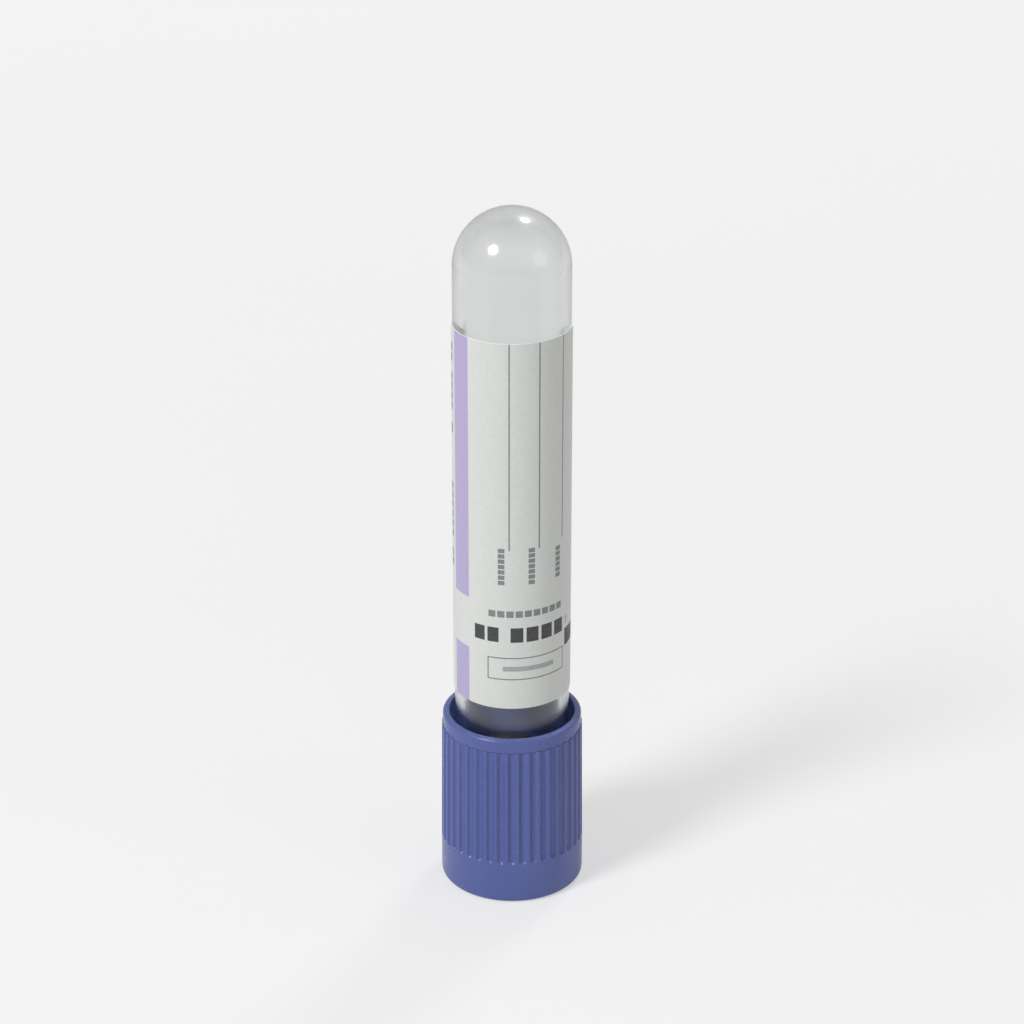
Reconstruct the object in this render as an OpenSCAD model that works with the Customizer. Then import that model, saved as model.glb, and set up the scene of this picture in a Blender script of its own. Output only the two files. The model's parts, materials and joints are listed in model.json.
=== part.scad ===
// Blood collection tube: a clear round-bottomed tube with a paper label, closed by a
// rubber stopper that is held in a ribbed plastic cap. It can't stand on its round end and
// rolls on its side, so it stands on the flat top of its cap, with the round end up.
//
// Each piece is drawn the other way up, with the round end of the tube at the origin, the
// axis along +Z and the front at -Y, and stand_on_cap() turns it over.

/* [Tube] */
// Outside diameter of the tube
tube_d = 13; // [10:0.5:16]
// Height of the tube, from its round end to its rim
tube_h = 75; // [60:1:100]
// Wall thickness at the rim
rim_wall = 1.0; // [0.8:0.05:1.4]
// Wall thickness at the round end
end_wall = 1.2; // [0.8:0.05:1.6]
// Inward taper of the outside under the cap, on the radius
mouth_taper = 0.06; // [0.02:0.01:0.15]
// Bevel on the edges of the rim
rim_bevel = 0.15; // [0.05:0.05:0.3]

/* [Label] */
// Width of the label, measured round the tube
label_w = 22; // [10:0.5:30]
// Distance from the top of the label to the open end of the cap
label_drop = 3.5; // [1:0.5:8]
// Distance from the foot of the label to where the round end starts
label_foot = 6.5; // [0:0.5:15]
// How far the middle of the label is turned from the front, in degrees
label_turn = 7; // [-30:1:30]
// Thickness of the paper
label_t = 0.1; // [0.06:0.01:0.2]
// Thickness of the glue film under the paper
glue_t = 0.02; // [0.01:0.01:0.05]
// Radius of the corners of the label
label_corner = 1.2; // [0.5:0.1:4]

/* [Cap] */
// Height of the cap
cap_h = 21; // [18:0.5:26]
// Length of tube that the skirt of the cap covers
cap_cover = 14.5; // [12:0.5:18]
// Gap between the tube and the inside of the skirt
skirt_gap = 0.65; // [0.5:0.05:1]
// Thickness of the skirt at its open end, over the ribs
skirt_wall = 0.87; // [0.75:0.01:1.5]
// How much wider the cap is at the top than at its open end, on the radius
cap_taper = 0.13; // [0.05:0.01:0.3]
// Height of the smooth band at the top
band_h = 5.5; // [4:0.5:8]
// Height of the smooth ring at the open end
ring_h = 1.6; // [1:0.1:3]
// How far the smooth ring stands back from the ribs
ring_step = 0.12; // [0.05:0.01:0.2]
// Rounding of the edge of the open end
ring_round = 0.35; // [0.1:0.05:0.4]
// Rounding of the shoulder between the side and the top
shoulder_round = 0.7; // [0.2:0.1:1]
// Thickness of the top
top_wall = 1.3; // [0.8:0.1:2]
// Diameter of the hole in the top
port_d = 8; // [5:0.5:9]
// Rounding of the edge of the hole
port_round = 0.3; // [0.1:0.05:0.5]

/* [Ribs of the cap] */
// Number of ribs
rib_count = 40; // [24:2:48]
// Depth of the grooves between the ribs
groove_depth = 0.3; // [0.1:0.05:0.4]
// Radius of the cutter that makes a groove
groove_cut = 0.45; // [0.4:0.05:0.6]

/* [Stopper] */
// How far the plug reaches into the tube
plug_h = 9; // [6:0.5:12]
// Gap between the sealing rings of the plug and the bore of the tube
plug_gap = 0.03; // [0.01:0.01:0.05]
// Number of sealing rings on the plug
seal_count = 3; // [2:1:4]
// Height of a sealing ring
seal_h = 1.8; // [1.3:0.1:2]
// Depth of the grooves between the sealing rings
seal_depth = 0.35; // [0.1:0.05:0.6]
// Gap between the head of the stopper and the rim of the tube
seat_gap = 0.05; // [0.02:0.01:0.1]
// Gap between the head of the stopper and the inside of the cap
head_gap = 0.02; // [0.01:0.01:0.1]
// Rounding of the shoulder of the head
head_round = 0.6; // [0.2:0.1:1]
// How far the ring in the cap reaches under the head of the stopper
catch_grip = 0.25; // [0.1:0.05:0.3]
// Height of the ring in the cap
catch_h = 0.9; // [0.6:0.1:1.5]
// Diameter of the well where the needle goes in
well_d = 5.6; // [3:0.2:7]
// Depth of the well
well_depth = 2.2; // [1:0.1:2.4]
// Diameter of the hollow in the foot of the plug
hollow_d = 6; // [4:0.2:7]
// Depth of the hollow
hollow_h = 5.5; // [3.5:0.5:6]

/* [Hidden] */
$fn = 96;
// Overshoot of a cutter past the face that it opens
over = 1;

tube_r = tube_d / 2;
bore_end_r = tube_r - end_wall;
bore_rim_r = tube_r - rim_wall;

// Levels of the cap, from the round end of the tube
open_z = tube_h - cap_cover;
rib_z = open_z + ring_h;
top_z = open_z + cap_h;
band_z = top_z - band_h;
ceiling_z = top_z - top_wall;

// Radii of the cap
skirt_in_r = tube_r + skirt_gap;
rib_open_r = skirt_in_r + skirt_wall;
cap_r = rib_open_r + cap_taper;
ring_r = rib_open_r - ring_step;

// The head of the stopper, between the rim of the tube and the top of the cap
head_z = tube_h + seat_gap;
head_h = ceiling_z - head_z;
catch_r = tube_r + skirt_gap / 2;
head_r = catch_r + catch_grip;
plug_z = tube_h - plug_h;

// How far the middle of the cutter of a groove stands outside the skirt
groove_off = groove_cut - groove_depth;

// Radius of the bore at a height: it widens evenly from the round end to the rim
function bore_r(z) = bore_end_r
    + (bore_rim_r - bore_end_r) * (z - tube_r) / (tube_h - tube_r);

// Angle at the axis that an arc of this length takes on a circle of this radius
function arc_angle(length, radius) = length / radius * 180 / PI;

// The resting pose: turned over sideways, with the front kept at -Y
module stand_on_cap()
    translate([0, 0, top_z])
        rotate([0, 180, 0])
            children();

// A turned piece, from the right-hand half of a drawing of its section
module turned()
    rotate_extrude()
        intersection() {
            children();
            square([cap_r + over, top_z + over]);
        }

// Rounds an outer corner of a section: at the origin, with material to the left and below
module round_off(radius)
    difference() {
        translate([-radius, -radius]) square(radius + over);
        translate([-radius, -radius]) circle(r = radius);
    }

module tube()
    color([0.86, 0.90, 0.90, 0.35])
        turned()
            difference() {
                union() {
                    translate([0, tube_r]) circle(r = tube_r);
                    polygon([
                        [0, tube_r], [tube_r, tube_r], [tube_r, open_z],
                        [tube_r - mouth_taper, tube_h - rim_bevel],
                        [tube_r - mouth_taper - rim_bevel, tube_h], [0, tube_h]
                    ]);
                }
                translate([0, tube_r]) circle(r = bore_end_r);
                polygon([
                    [0, tube_r], [bore_end_r, tube_r],
                    [bore_r(tube_h - rim_bevel), tube_h - rim_bevel],
                    [bore_rim_r + rim_bevel + over, tube_h + over], [0, tube_h + over]
                ]);
            }

// What is cut from a corner of the label: drawn flat, with the corner at the origin. Its
// arc is a little larger than the corner, so that it crosses both edges cleanly.
module label_corner_cut()
    rotate([90, 0, 0])
        linear_extrude(tube_r, center = true)
            difference() {
                translate([-label_corner, -label_corner]) square(label_corner + over);
                translate([-label_corner, -label_corner]) circle(r = 1.02 * label_corner);
            }

module label() {
    inner_r = tube_r + glue_t;
    outer_r = inner_r + label_t;
    half_angle = arc_angle(label_w / 2, inner_r);
    corner_angle = arc_angle(label_corner, inner_r);
    label_z = tube_r + label_foot;
    label_h = open_z - label_drop - label_z;
    color("white")
        rotate([0, 0, label_turn])
            difference() {
                rotate([0, 0, -90 - half_angle])
                    translate([0, 0, label_z])
                        rotate_extrude(angle = 2 * half_angle)
                            translate([inner_r, 0]) square([label_t, label_h]);
                for (side = [0, 1], end = [0, 1])
                    mirror([side, 0, 0])
                        rotate([0, 0, half_angle - corner_angle])
                            translate([label_corner, -outer_r, label_z + end * label_h])
                                mirror([0, 0, 1 - end])
                                    label_corner_cut();
            }
}

// Section of one sealing ring of the plug, from its foot at this height up to its top
function seal_points(z) = let (top = z + seal_h) [
    [bore_r(z) - plug_gap - seal_depth, z],
    [bore_r(z) - plug_gap, z + seal_depth],
    [bore_r(top) - plug_gap, top - seal_depth],
    [bore_r(top) - plug_gap - seal_depth, top]
];

module stopper() {
    side_r = head_r - head_gap;
    hollow_r = hollow_d / 2;
    well_r = well_d / 2;
    // A bowl this wide and this deep is a cap of a ball of this radius
    ball_r = (pow(well_r, 2) + pow(well_depth, 2)) / (2 * well_depth);
    seal_pitch = (plug_h - seal_h) / (seal_count - 1);
    neck_r = bore_rim_r - plug_gap - seal_depth;
    color([0.30, 0.32, 0.31])
        turned()
            difference() {
                polygon([
                    [0, plug_z],
                    for (i = [0 : seal_count - 1]) each seal_points(plug_z + i * seal_pitch),
                    [neck_r, head_z], [side_r, head_z], [side_r, ceiling_z], [0, ceiling_z]
                ]);
                translate([side_r, ceiling_z]) round_off(head_round);
                // Well for the needle
                translate([0, ceiling_z + ball_r - well_depth]) circle(r = ball_r);
                // Hollow in the foot, with a round roof
                translate([0, plug_z - over]) square([hollow_r, hollow_h - hollow_r + over]);
                translate([0, plug_z + hollow_h - hollow_r]) circle(r = hollow_r);
            }
}

// A groove between two ribs: at the back of the cap, leaning with the skirt. It
// starts just under the smooth ring's top, so that its slanting end leaves no lip there.
module groove() {
    lean = atan2(cap_taper, band_z - rib_z);
    run = (band_z - rib_z) / cos(lean);
    lip = groove_cut * tan(lean);
    translate([0, rib_open_r + groove_off, rib_z])
        rotate([-lean, 0, 0]) {
            translate([0, 0, -lip]) cylinder(r = groove_cut, h = run + lip, $fn = 32);
            translate([0, 0, run]) sphere(r = groove_cut, $fn = 32);
        }
}

module cap()
    color([0.42, 0.45, 0.66])
        difference() {
            turned()
                difference() {
                    // Outside, with the smooth ring at the foot
                    difference() {
                        polygon([
                            [0, open_z], [ring_r, open_z], [ring_r, rib_z], [rib_open_r, rib_z],
                            [cap_r, band_z], [cap_r, top_z], [0, top_z]
                        ]);
                        translate([cap_r, top_z]) round_off(shoulder_round);
                        translate([ring_r, open_z]) mirror([0, 1]) round_off(ring_round);
                    }
                    // Inside of the skirt, with a sloping lead up to the catch ring
                    polygon([
                        [0, open_z - over], [skirt_in_r, open_z - over],
                        [skirt_in_r, head_z - catch_h], [catch_r, head_z - catch_h / 2],
                        [catch_r, head_z], [0, head_z]
                    ]);
                    // Room for the head of the stopper
                    translate([0, head_z - over / 2]) square([catch_r, over]);
                    translate([0, head_z]) square([head_r, head_h]);
                    // Hole in the top
                    translate([0, ceiling_z - over]) square([port_d / 2, top_wall + 2 * over]);
                    translate([port_d / 2, top_z]) mirror([1, 0]) round_off(port_round);
                }
            for (i = [0 : rib_count - 1])
                rotate([0, 0, i * 360 / rib_count]) groove();
        }

stand_on_cap() tube();
stand_on_cap() label();
stand_on_cap() stopper();
stand_on_cap() cap();
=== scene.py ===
"""Blood collection tube, standing upside down on the flat top of its cap: a clear
round-bottomed tube with a printed paper label, a rubber stopper and a ribbed lavender cap."""

import json
import math

import bmesh
import bpy
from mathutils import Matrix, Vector


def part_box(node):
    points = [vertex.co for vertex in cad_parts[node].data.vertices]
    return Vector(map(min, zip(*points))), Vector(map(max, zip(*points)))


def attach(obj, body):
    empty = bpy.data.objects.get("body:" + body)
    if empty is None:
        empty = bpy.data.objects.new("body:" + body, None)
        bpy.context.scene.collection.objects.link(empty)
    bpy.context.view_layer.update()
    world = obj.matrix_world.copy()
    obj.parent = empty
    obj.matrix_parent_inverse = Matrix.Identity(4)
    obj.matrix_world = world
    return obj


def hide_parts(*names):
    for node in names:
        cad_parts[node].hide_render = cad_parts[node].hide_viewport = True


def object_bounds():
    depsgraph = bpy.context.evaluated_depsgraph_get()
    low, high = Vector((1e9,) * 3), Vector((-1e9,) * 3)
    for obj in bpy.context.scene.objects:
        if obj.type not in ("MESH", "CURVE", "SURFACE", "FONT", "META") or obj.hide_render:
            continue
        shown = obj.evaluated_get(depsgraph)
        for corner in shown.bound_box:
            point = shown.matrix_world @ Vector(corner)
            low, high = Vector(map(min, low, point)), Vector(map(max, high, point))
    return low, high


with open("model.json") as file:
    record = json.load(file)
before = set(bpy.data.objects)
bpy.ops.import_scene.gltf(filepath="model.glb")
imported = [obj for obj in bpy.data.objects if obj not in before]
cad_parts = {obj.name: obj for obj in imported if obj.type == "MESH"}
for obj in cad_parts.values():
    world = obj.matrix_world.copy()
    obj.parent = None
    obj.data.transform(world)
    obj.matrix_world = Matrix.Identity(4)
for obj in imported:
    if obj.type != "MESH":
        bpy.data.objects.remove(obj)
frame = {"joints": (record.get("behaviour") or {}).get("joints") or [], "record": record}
cad_low, cad_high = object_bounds()

MM = 0.001

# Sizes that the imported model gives, in metres above the table or from the axis
mounts = {mount["name"]: mount for mount in frame["record"]["mounts"]}
tube_low, tube_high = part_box("tube")
cap_low, cap_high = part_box("cap")
label_low, label_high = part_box("label")
stopper_low, stopper_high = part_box("stopper")
tube_r = mounts["tube_body"]["dims"]["r_mm"] * MM
cap_r = mounts["cap_band"]["dims"]["r_mm"] * MM
port_r = mounts["needle_port"]["dims"]["r_mm"] * MM
rim_z, round_end_z = tube_low.z, tube_high.z
dome_z = round_end_z - tube_r
skirt_end_z = cap_high.z

# Sizes of the moulded pieces, as the model has them
RIM_WALL = 1.0 * MM
END_WALL = 1.2 * MM
MOUTH_TAPER = 0.06 * MM
RIM_BEVEL = 0.15 * MM
TOP_WALL = 1.3 * MM
PORT_ROUND = 0.3 * MM
SHOULDER_ROUND = 0.7 * MM
BAND_HEIGHT = 5.5 * MM
RING_HEIGHT = 1.6 * MM
RIB_END_R = tube_r + 1.52 * MM
RING_R = RIB_END_R - 0.12 * MM
RING_ROUND = 0.35 * MM
SKIRT_INNER_R = tube_r + 0.65 * MM
CATCH_R = tube_r + 0.325 * MM
CATCH_HEIGHT = 0.9 * MM
RIBS = 40
GROOVE_DEPTH = 0.3 * MM
GROOVE_CUT = 0.45 * MM
HEAD_R = CATCH_R + 0.25 * MM
HEAD_Z = rim_z - 0.05 * MM
HEAD_GAP = 0.02 * MM
HEAD_ROUND = 0.6 * MM
WELL_R = 2.8 * MM
WELL_DEPTH = 2.2 * MM
PLUG_GAP = 0.03 * MM
SEALS = 3
SEAL_HEIGHT = 1.8 * MM
SEAL_DEPTH = 0.35 * MM
SEAL_ROUND = 0.22 * MM
HOLLOW_R = 3.0 * MM
HOLLOW_DEPTH = 5.5 * MM
HOLLOW_ROUND = 0.25 * MM
SMALL_ROUND = 0.1 * MM
LABEL_WIDTH = 22 * MM
LABEL_THICKNESS = 0.1 * MM
LABEL_GLUE = 0.02 * MM
LABEL_CORNER = 1.2 * MM
LABEL_TURN = math.radians(7)


def arc(centre, radius, start, end, count):
    """Points of (radius, height) along an arc, with its angles in degrees from outwards."""
    turns = [start + (end - start) * i / count for i in range(count + 1)]
    return [
        (
            max(0.0, centre[0] + radius * math.cos(math.radians(turn))),
            centre[1] + radius * math.sin(math.radians(turn)),
        )
        for turn in turns
    ]


def run(start, end, count):
    """Points evenly spaced from one point to another, without the last one."""
    return [
        (
            start[0] + (end[0] - start[0]) * i / count,
            start[1] + (end[1] - start[1]) * i / count,
        )
        for i in range(count)
    ]


def turned(outline, steps, closed):
    """A mesh turned about the axis from its outline, whose open ends lie on the axis."""
    bm = bmesh.new()
    corners = [bm.verts.new((radius, 0, height)) for radius, height in outline]
    after = corners[1:] + corners[:1] if closed else corners[1:]
    edges = [bm.edges.new(pair) for pair in zip(corners, after)]
    bmesh.ops.spin(
        bm, geom=corners + edges, cent=(0, 0, 0), axis=(0, 0, 1),
        angle=math.tau, steps=steps, use_merge=True,
    )
    bmesh.ops.remove_doubles(bm, verts=bm.verts, dist=1e-7)
    return bm


def finished(bm, name, materials, sharp=40):
    """The mesh as a piece, smooth except along edges that turn by more than this angle."""
    mesh = bpy.data.meshes.new(name)
    bm.to_mesh(mesh)
    bm.free()
    mesh.shade_smooth()
    mesh.set_sharp_from_angle(angle=math.radians(sharp))
    for material in materials:
        mesh.materials.append(material)
    piece = bpy.data.objects.new(name, mesh)
    bpy.context.scene.collection.objects.link(piece)
    return piece


# ---------------------------------------------------------------- finishes


class Finish:
    """A new material with its shader, and short ways to lay a pattern on it."""

    def __init__(self, name, roughness):
        self.material = bpy.data.materials.new(name)
        self.material.use_nodes = True
        self.nodes = self.material.node_tree.nodes
        self.links = self.material.node_tree.links
        self.shader = self.nodes["Principled BSDF"]
        self.output = self.nodes["Material Output"]
        self.shader.inputs["Roughness"].default_value = roughness
        self.place = self.nodes.new("ShaderNodeTexCoord").outputs["Object"]

    def stretched(self, scale):
        """The place on the piece, drawn out by another scale along each axis."""
        mapping = self.nodes.new("ShaderNodeMapping")
        mapping.inputs["Scale"].default_value = scale
        self.links.new(self.place, mapping.inputs["Vector"])
        return mapping.outputs["Vector"]

    def noise(self, scale, detail=3.0, place=None):
        noise = self.nodes.new("ShaderNodeTexNoise")
        noise.inputs["Scale"].default_value = scale
        noise.inputs["Detail"].default_value = detail
        self.links.new(place or self.place, noise.inputs["Vector"])
        return noise.outputs["Fac"]

    def spread(self, value, low, high):
        """A pattern's middle values spread over a new range."""
        spread = self.nodes.new("ShaderNodeMapRange")
        spread.inputs["From Min"].default_value = 0.3
        spread.inputs["From Max"].default_value = 0.7
        spread.inputs["To Min"].default_value = low
        spread.inputs["To Max"].default_value = high
        self.links.new(value, spread.inputs["Value"])
        return spread.outputs["Result"]

    def colour(self, value, dark, light):
        mix = self.nodes.new("ShaderNodeMix")
        mix.data_type = "RGBA"
        mix.inputs["A"].default_value = (*dark, 1)
        mix.inputs["B"].default_value = (*light, 1)
        self.links.new(value, mix.inputs["Factor"])
        self.links.new(mix.outputs["Result"], self.shader.inputs["Base Color"])

    def roughness(self, value, low, high):
        self.links.new(self.spread(value, low, high), self.shader.inputs["Roughness"])

    def bump(self, value, height, strength=1.0):
        bump = self.nodes.new("ShaderNodeBump")
        bump.inputs["Strength"].default_value = strength
        bump.inputs["Distance"].default_value = height
        self.links.new(value, bump.inputs["Height"])
        self.links.new(bump.outputs["Normal"], self.shader.inputs["Normal"])


def lavender_plastic():
    """Satin moulded polyethylene: faint flow marks down the skirt, and slightly uneven."""
    finish = Finish("lavender_plastic", 0.30)
    flow = finish.noise(90, 4, finish.stretched((1, 1, 0.25)))
    finish.colour(finish.spread(flow, 0, 1), (0.074, 0.101, 0.312), (0.090, 0.121, 0.358))
    finish.roughness(finish.noise(700, 3), 0.24, 0.34)
    finish.bump(finish.noise(400, 1), 0.000010, 0.2)
    finish.shader.inputs["IOR"].default_value = 1.5
    return finish.material


def clear_plastic():
    """Clear polyester, a little hazy, with slight ripples and fine handling marks."""
    finish = Finish("clear_plastic", 0.03)
    tint = finish.spread(finish.noise(60), 0, 1)
    finish.colour(tint, (0.962, 0.968, 0.962), (0.979, 0.983, 0.978))
    finish.roughness(finish.noise(400, 4, finish.stretched((1, 1, 0.4))), 0.09, 0.15)
    finish.bump(finish.noise(110, 1, finish.stretched((1, 1, 0.3))), 0.000008, 0.1)
    finish.shader.inputs["IOR"].default_value = 1.57
    finish.shader.inputs["Transmission Weight"].default_value = 1.0
    # The plastic takes up a little light where a look along the wall is long
    depth = finish.nodes.new("ShaderNodeVolumeAbsorption")
    depth.inputs["Color"].default_value = (0.82, 0.85, 0.84, 1)
    depth.inputs["Density"].default_value = 220
    finish.links.new(depth.outputs["Volume"], finish.output.inputs["Volume"])
    # Light passes through to what is behind it, in place of a black shadow
    path = finish.nodes.new("ShaderNodeLightPath")
    through = finish.nodes.new("ShaderNodeBsdfTransparent")
    through.inputs["Color"].default_value = (0.965, 0.968, 0.963, 1)
    mix = finish.nodes.new("ShaderNodeMixShader")
    finish.links.new(path.outputs["Is Shadow Ray"], mix.inputs[0])
    finish.links.new(finish.shader.outputs["BSDF"], mix.inputs[1])
    finish.links.new(through.outputs["BSDF"], mix.inputs[2])
    finish.links.new(mix.outputs["Shader"], finish.output.inputs["Surface"])
    return finish.material


def stopper_rubber():
    """Dull butyl rubber, dark grey-green, with a mottled bloom."""
    finish = Finish("stopper_rubber", 0.62)
    bloom = finish.spread(finish.noise(350, 5), 0, 1)
    finish.colour(bloom, (0.016, 0.020, 0.020), (0.034, 0.041, 0.039))
    finish.roughness(finish.noise(900, 3), 0.52, 0.72)
    finish.bump(finish.noise(4000, 3), 0.00002, 0.6)
    return finish.material


def paper(name, dark, light, low=0.42, high=0.56):
    """Coated paper, or ink on it: one colour that clouds a little, over fine fibres."""
    finish = Finish(name, low)
    finish.colour(finish.spread(finish.noise(2500, 6), 0, 1), dark, light)
    finish.roughness(finish.noise(1500, 3), low, high)
    finish.bump(finish.noise(6000, 4, finish.stretched((1, 1, 0.6))), 0.000008, 0.5)
    return finish.material


# ---------------------------------------------------------------- the clear tube


def bore_r(height):
    """The bore widens evenly from the round end to the rim."""
    along = (dome_z - height) / (dome_z - rim_z)
    return tube_r - END_WALL + (END_WALL - RIM_WALL) * along


def make_tube():
    mouth_r = tube_r - MOUTH_TAPER
    inner_end_r = tube_r - END_WALL
    # The first row of long faces starts this far from the rim, or from the skirt
    start = 3 * MM
    outline = [
        (bore_r(rim_z) + RIM_BEVEL, rim_z),
        (mouth_r - RIM_BEVEL, rim_z),
        (mouth_r, rim_z + RIM_BEVEL),
        (tube_r, skirt_end_z),
        *run((tube_r, skirt_end_z + start), (tube_r, dome_z), 6),
        *arc((0, dome_z), tube_r, 0, 90, 72),
    ]
    inside = [
        (bore_r(rim_z + RIM_BEVEL), rim_z + RIM_BEVEL),
        *run((bore_r(rim_z + start), rim_z + start), (inner_end_r, dome_z), 6),
        *arc((0, dome_z), inner_end_r, 0, 90, 72),
    ]
    bm = turned(list(reversed(inside)) + outline, 192, closed=False)
    bmesh.ops.recalc_face_normals(bm, faces=bm.faces)
    return finished(bm, "clear_tube", [clear_plastic()], sharp=30)


tube = make_tube()
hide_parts("tube")
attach(tube, "vial")

# ---------------------------------------------------------------- the label

# The print, as the reader sees it with the cap up. Across is in degrees round the tube,
# from the front to the right. Down is in millimetres from the top of the label.
BARE, BLACK, DARK, GREY, FINE, VIOLET, BACK = range(7)
# How much of its place in a row a block fills
BLOCK = 0.8


def blocks_across(ink, left, right, top, bottom, places):
    """Blocks in place of a word that runs across the label."""
    step = (right - left) / places
    return [
        (ink, left + place * step, left + (place + BLOCK) * step, top, bottom)
        for place in range(places)
    ]


def blocks_down(ink, left, right, top, bottom, places, blank=None):
    """Blocks in place of words that run down the label, with one place left blank."""
    step = (bottom - top) / places
    return [
        (ink, left, right, top + place * step, top + (place + BLOCK) * step)
        for place in range(places)
        if place != blank
    ]


FIELDS = [
    (VIOLET, 46.2, 70.5, 0, 6.8),
    (VIOLET, 46.2, 70.5, 13.0, 44),
    # The filling mark, and a box with a bar in it
    (BLACK, -91, -62.3, 6.2, 8.3),
    (GREY, -59, 24.4, 3.6, 3.75),
    (GREY, -59, 24.4, 6.25, 6.4),
    (GREY, -59, -57.7, 3.6, 6.4),
    (GREY, 23.1, 24.4, 3.6, 6.4),
    (FINE, -44, 9, 4.7, 5.3),
    # Two bold words and a finer one under them
    *blocks_across(DARK, -57.5, 4.5, 8.3, 10.1, 4),
    *blocks_across(DARK, 13, 41.5, 8.3, 10.1, 2),
    *blocks_across(GREY, -55, 25, 11.4, 12.2, 9),
    # Three captions, each beside the line to write on
    *blocks_down(GREY, -53, -46.5, 15.4, 19.3, 6),
    *blocks_down(GREY, -22.5, -16, 15.4, 19.95, 7),
    *blocks_down(GREY, 7.2, 13.7, 15.4, 19.95, 7),
    (GREY, -57.2, -55.8, 19.95, 44),
    (GREY, -27.6, -26.2, 19.6, 44),
    (GREY, 2.0, 3.4, 19.6, 44),
    # Stamped marks beside the stripe
    *blocks_down(GREY, 77.5, 91, 15.4, 25.75, 9, blank=2),
    (BLACK, 78.5, 83.0, 31.4, 32.6),
    (FINE, 84.5, 90.5, 31.4, 32.6),
    *blocks_down(GREY, 77.5, 91, 34.2, 42.25, 7, blank=4),
]
# A small triangle under the filling mark, which points up at it
ARROW = (FINE, -67.5, -62.0, 8.75, 9.85)


def make_label():
    label_r = tube_r + LABEL_GLUE + LABEL_THICKNESS
    height = label_high.z - label_low.z
    half = LABEL_WIDTH / 2 * label_r / (label_r - LABEL_THICKNESS)
    bm = bmesh.new()
    bmesh.ops.create_grid(bm, x_segments=1, y_segments=1, size=0.5)
    bmesh.ops.scale(bm, verts=bm.verts, vec=(2 * half, height, 1))
    bmesh.ops.translate(bm, verts=bm.verts, vec=(LABEL_TURN * label_r, height / 2, 0))
    bmesh.ops.bevel(
        bm, geom=bm.verts[:], affect="VERTICES", offset=LABEL_CORNER, offset_type="OFFSET",
        segments=10, profile=0.5, material=-1,
    )

    def cut(point, direction, faces):
        edges = {edge for face in faces for edge in face.edges}
        corners = {corner for face in faces for corner in face.verts}
        bmesh.ops.bisect_plane(
            bm, geom=[*faces, *edges, *corners], dist=1e-7, plane_co=point, plane_no=direction,
        )

    def place(face):
        """The middle of a face in degrees across and millimetres down."""
        middle = face.calc_center_median()
        return math.degrees(middle.x / label_r), middle.y / MM

    def within(field):
        ink, left, right, top, bottom = field
        places = [(face, *place(face)) for face in bm.faces]
        return [face for face, x, y in places if left < x < right and top < y < bottom]

    fields = [*FIELDS, ARROW]
    across = {math.radians(edge) * label_r for field in fields for edge in field[1:3]}
    down = {edge * MM for field in fields for edge in field[3:5]}
    across |= {math.radians(edge) * label_r for edge in range(-88, 104, 3)}
    for edge in sorted(across):
        cut((edge, 0, 0), (1, 0, 0), bm.faces[:])
    for edge in sorted(down):
        cut((0, edge, 0), (0, 1, 0), bm.faces[:])
    for field in FIELDS:
        for face in within(field):
            face.material_index = field[0]
    ink, left, right, top, bottom = ARROW
    tip = (left + right) / 2
    rise, reach = (bottom - top) * MM, math.radians(right - tip) * label_r
    for side in (-1, 1):
        cut((math.radians(tip) * label_r, top * MM, 0), (rise, side * reach, 0), within(ARROW))
    for face in within(ARROW):
        x, y = place(face)
        if abs(x - tip) < (right - tip) * (y - top) / (bottom - top):
            face.material_index = ink
    for corner in bm.verts:
        angle = corner.co.x / label_r
        corner.co = Vector((
            -label_r * math.sin(angle), -label_r * math.cos(angle), label_low.z + corner.co.y
        ))
    bmesh.ops.recalc_face_normals(bm, faces=bm.faces)
    front = max(bm.faces, key=lambda face: -face.calc_center_median().y)
    if front.normal.y > 0:
        bmesh.ops.reverse_faces(bm, faces=bm.faces)
    bmesh.ops.solidify(bm, geom=bm.faces[:], thickness=LABEL_THICKNESS)
    for face in bm.faces:
        middle = face.calc_center_median()
        if math.hypot(middle.x, middle.y) < label_r - LABEL_THICKNESS / 4:
            face.material_index = BACK
    inks = [
        paper("label_paper", (0.655, 0.670, 0.652), (0.695, 0.709, 0.690)),
        paper("black_ink", (0.010, 0.010, 0.012), (0.022, 0.022, 0.024), 0.34, 0.48),
        paper("dark_ink", (0.038, 0.039, 0.042), (0.060, 0.062, 0.065), 0.36, 0.50),
        paper("grey_ink", (0.205, 0.212, 0.210), (0.25, 0.258, 0.255), 0.38, 0.52),
        paper("pale_ink", (0.34, 0.350, 0.345), (0.42, 0.430, 0.425), 0.40, 0.54),
        paper("violet_ink", (0.425, 0.366, 0.595), (0.462, 0.403, 0.638), 0.38, 0.52),
        # The back is painted lighter than the front paper: painted light, in place of light that
        # comes through the paper
        paper("paper_back_painted_light", (0.80, 0.80, 0.78), (0.86, 0.86, 0.845), 0.30, 0.45),
    ]
    return finished(bm, "printed_label", inks, sharp=50)


label = make_label()
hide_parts("label")
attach(label, "vial")

# ---------------------------------------------------------------- the stopper


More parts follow.
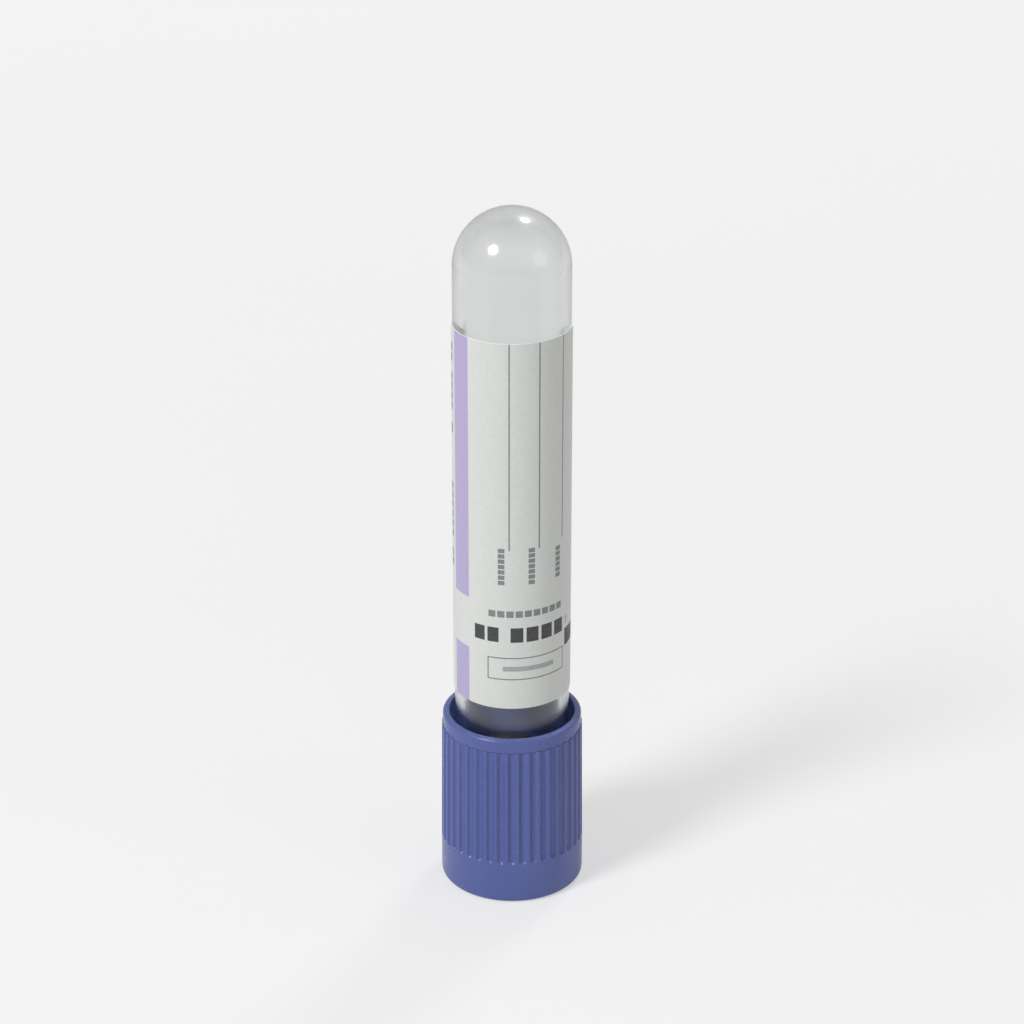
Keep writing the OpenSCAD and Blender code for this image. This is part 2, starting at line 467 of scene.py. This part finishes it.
def make_stopper():
    side_r = HEAD_R - HEAD_GAP
    plug_z = stopper_high.z
    ball_r = (WELL_R**2 + WELL_DEPTH**2) / (2 * WELL_DEPTH)
    ball_z = TOP_WALL + WELL_DEPTH - ball_r
    lip = math.degrees(math.asin((TOP_WALL - ball_z) / ball_r))
    pitch = (plug_z - rim_z - SEAL_HEIGHT) / (SEALS - 1)
    neck_r = bore_r(rim_z) - PLUG_GAP - SEAL_DEPTH
    hollow_roof = plug_z - HOLLOW_DEPTH + HOLLOW_R
    outline = [
        *arc((0, ball_z), ball_r, 90, lip, 20),
        *arc((side_r - HEAD_ROUND, TOP_WALL + HEAD_ROUND), HEAD_ROUND, -90, 0, 10),
        *arc((side_r - SMALL_ROUND, HEAD_Z - SMALL_ROUND), SMALL_ROUND, 0, 90, 4),
        (neck_r + SMALL_ROUND, HEAD_Z),
        (neck_r, HEAD_Z + SMALL_ROUND),
    ]
    # A sealing ring's slopes start this far from its ends, and its rounds lie this far in
    slope, inset = 0.02 * MM, 0.36 * MM
    for seal in range(SEALS):
        foot = rim_z + seal * pitch
        seal_r = bore_r(foot + SEAL_HEIGHT / 2) - PLUG_GAP
        round_r = seal_r - SEAL_ROUND
        outline += [
            (seal_r - SEAL_DEPTH, foot + slope),
            *arc((round_r, foot + inset), SEAL_ROUND, -50, 0, 4),
            *arc((round_r, foot + SEAL_HEIGHT - inset), SEAL_ROUND, 0, 50, 4),
            (seal_r - SEAL_DEPTH, foot + SEAL_HEIGHT - slope),
        ]
    outline[-1] = (outline[-1][0], plug_z)
    outline += [
        *arc((HOLLOW_R + HOLLOW_ROUND, plug_z - HOLLOW_ROUND), HOLLOW_ROUND, 90, 180, 6),
        *arc((0, hollow_roof), HOLLOW_R, 0, -90, 20),
    ]
    bm = turned(outline, 128, closed=False)
    bmesh.ops.recalc_face_normals(bm, faces=bm.faces)
    return finished(bm, "rubber_stopper", [stopper_rubber()])


stopper = make_stopper()
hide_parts("stopper")
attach(stopper, "closure")

# ---------------------------------------------------------------- the cap


def groove_depth(place):
    """How deep the nearest groove is at a place on the outside of the skirt."""
    pitch = math.tau / RIBS
    angle = math.atan2(place.y, place.x)
    beside = RIB_END_R * ((angle + pitch / 2) % pitch - pitch / 2)
    past_end = min(0.0, place.z - BAND_HEIGHT)
    away = math.hypot(beside, past_end)
    floor = GROOVE_CUT - GROOVE_DEPTH
    half = math.sqrt(GROOVE_CUT**2 - floor**2)
    if away < half:
        depth = math.sqrt(GROOVE_CUT**2 - away**2) - floor
    else:
        depth = (half - away) * half / floor
    # The groove's edge is rounded over about this width
    soft = 0.035 * MM
    return (depth + math.hypot(depth, soft)) / 2


def make_cap():
    ledge_z = skirt_end_z - RING_HEIGHT
    # Rows of faces start here on the band, and grow closer this far below the grooves' ends
    band_start, near_grooves = 2.0 * MM, 0.6 * MM
    # The edge at the end of the ribs is taken off by this much
    edge = 0.04 * MM
    fine_z = BAND_HEIGHT - near_grooves
    outline = [
        *arc((port_r + PORT_ROUND, PORT_ROUND), PORT_ROUND, 180, 270, 6),
        *arc((cap_r - SHOULDER_ROUND, SHOULDER_ROUND), SHOULDER_ROUND, -90, 0, 12),
        *run((cap_r, band_start), (cap_r, fine_z), 2),
        *run((cap_r, fine_z), (cap_r, BAND_HEIGHT), 8),
        *run((cap_r, BAND_HEIGHT), (RIB_END_R, ledge_z - edge), 10),
        (RIB_END_R, ledge_z - edge),
        (RIB_END_R - edge, ledge_z),
        # A small fillet at the foot of the ring
        (RING_R - 0.05 * MM, ledge_z + 0.01 * MM),
        (RING_R, ledge_z + 0.06 * MM),
        *arc((RING_R - RING_ROUND, skirt_end_z - RING_ROUND), RING_ROUND, 0, 90, 8),
        *arc((SKIRT_INNER_R + SMALL_ROUND, skirt_end_z - SMALL_ROUND), SMALL_ROUND, 90, 180, 4),
        (SKIRT_INNER_R, HEAD_Z + CATCH_HEIGHT),
        (CATCH_R, HEAD_Z + CATCH_HEIGHT / 2),
        (CATCH_R, HEAD_Z),
        (HEAD_R, HEAD_Z),
        (HEAD_R, TOP_WALL),
        (port_r, TOP_WALL),
    ]
    bm = turned(outline, RIBS * 16, closed=True)
    bmesh.ops.recalc_face_normals(bm, faces=bm.faces)
    # The grooves are sunk into the rows between these heights, outside the ring
    low, high = BAND_HEIGHT - 0.7 * MM, ledge_z + 0.005 * MM
    for corner in bm.verts:
        radius = math.hypot(corner.co.x, corner.co.y)
        if radius > RING_R + 0.01 * MM and low < corner.co.z < high:
            inwards = 1 - groove_depth(corner.co) / radius
            corner.co.x *= inwards
            corner.co.y *= inwards
    return finished(bm, "ribbed_cap", [lavender_plastic()])


cap = make_cap()
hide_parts("cap")
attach(cap, "closure")

# ---------------------------------------------------------------- the studio


def seen_directly(nodes, links, mirrored):
    """1 for what the camera sees straight, this much for what it sees mirrored or through
    clear plastic, and 0 for light that falls on the object."""
    path = nodes.new("ShaderNodeLightPath")
    either = nodes.new("ShaderNodeMath")
    either.operation = "MAXIMUM"
    links.new(path.outputs["Is Glossy Ray"], either.inputs[0])
    links.new(path.outputs["Is Transmission Ray"], either.inputs[1])
    part = nodes.new("ShaderNodeMath")
    part.operation = "MULTIPLY"
    part.inputs[1].default_value = mirrored
    links.new(either.outputs["Value"], part.inputs[0])
    seen = nodes.new("ShaderNodeMath")
    seen.operation = "MAXIMUM"
    links.new(path.outputs["Is Camera Ray"], seen.inputs[0])
    links.new(part.outputs["Value"], seen.inputs[1])
    return seen.outputs["Value"]


def make_floor():
    """A pale floor that keeps the shadow near the tube and fades to white further out."""
    bm = bmesh.new()
    bmesh.ops.create_grid(bm, x_segments=1, y_segments=1, size=4.0)
    finish = Finish("pale_floor", 0.8)
    finish.colour(finish.spread(finish.noise(6), 0, 1), (0.84, 0.84, 0.835), (0.87, 0.87, 0.865))
    finish.roughness(finish.noise(40), 0.75, 0.9)
    away = finish.nodes.new("ShaderNodeVectorMath")
    away.operation = "LENGTH"
    finish.links.new(finish.place, away.inputs[0])
    fade = finish.nodes.new("ShaderNodeMapRange")
    for name, value in (("From Min", 0.08), ("From Max", 0.9), ("To Min", 0.5), ("To Max", 1.0)):
        fade.inputs[name].default_value = value
    finish.links.new(away.outputs["Value"], fade.inputs["Value"])
    share = finish.nodes.new("ShaderNodeMath")
    share.operation = "MULTIPLY"
    finish.links.new(fade.outputs["Result"], share.inputs[0])
    finish.links.new(seen_directly(finish.nodes, finish.links, 0.4), share.inputs[1])
    white = finish.nodes.new("ShaderNodeEmission")
    mix = finish.nodes.new("ShaderNodeMixShader")
    finish.links.new(share.outputs["Value"], mix.inputs[0])
    finish.links.new(finish.shader.outputs["BSDF"], mix.inputs[1])
    finish.links.new(white.outputs["Emission"], mix.inputs[2])
    finish.links.new(mix.outputs["Shader"], finish.output.inputs["Surface"])
    return finished(bm, "floor", [finish.material])


def soft_light(name, place, size, power):
    """A round soft light that faces the middle of the tube."""
    lamp = bpy.data.lights.new(name, "AREA")
    lamp.shape = "DISK"
    lamp.size = size
    lamp.energy = power
    light = bpy.data.objects.new(name, lamp)
    light.location = place
    light.rotation_euler = (middle - Vector(place)).to_track_quat("-Z", "Y").to_euler()
    # The clear plastic mirrors the light, but shows no bent image of it
    light.visible_transmission = False
    bpy.context.scene.collection.objects.link(light)


def make_surroundings():
    """Dim grey light from all round, behind a white backdrop."""
    world = bpy.data.worlds.new("surroundings")
    world.use_nodes = True
    nodes, links = world.node_tree.nodes, world.node_tree.links
    strength = nodes.new("ShaderNodeMapRange")
    strength.inputs["To Min"].default_value = 0.32
    strength.inputs["To Max"].default_value = 1.0
    links.new(seen_directly(nodes, links, 0.55), strength.inputs["Value"])
    links.new(strength.outputs["Result"], nodes["Background"].inputs["Strength"])
    nodes["Background"].inputs["Color"].default_value = (1, 1, 1, 1)
    bpy.context.scene.world = world


middle = (cad_low + cad_high) / 2
make_floor()
# The key and back lights stand high, so that their glints stay inside the round end's outline
soft_light("key_light", (-0.78, -0.66, 1.00), 0.40, 12.7)
soft_light("fill_light", (0.9, -0.5, 0.5), 0.60, 1.0)
soft_light("back_light", (0.32, 0.60, 1.05), 0.25, 2.2)
make_surroundings()

camera_data = bpy.data.cameras.new("camera")
camera_data.lens = 117
camera_data.sensor_width = 36
camera_data.clip_start = 0.01
camera = bpy.data.objects.new("camera", camera_data)
bpy.context.scene.collection.objects.link(camera)
look_down = math.radians(25)
towards = Vector((0, -math.cos(look_down), math.sin(look_down)))
# The camera aims a little above the middle, so that the tube stays in view when it is pulled up
pull = frame["joints"][0]["range_m"][1]
aim = middle + Vector((0, 0, pull / 4))
camera_distance = 0.37
camera.location = aim + camera_distance * towards
camera.rotation_euler = towards.to_track_quat("Z", "Y").to_euler()
bpy.context.scene.camera = camera
bpy.context.scene.view_settings.view_transform = "Standard"
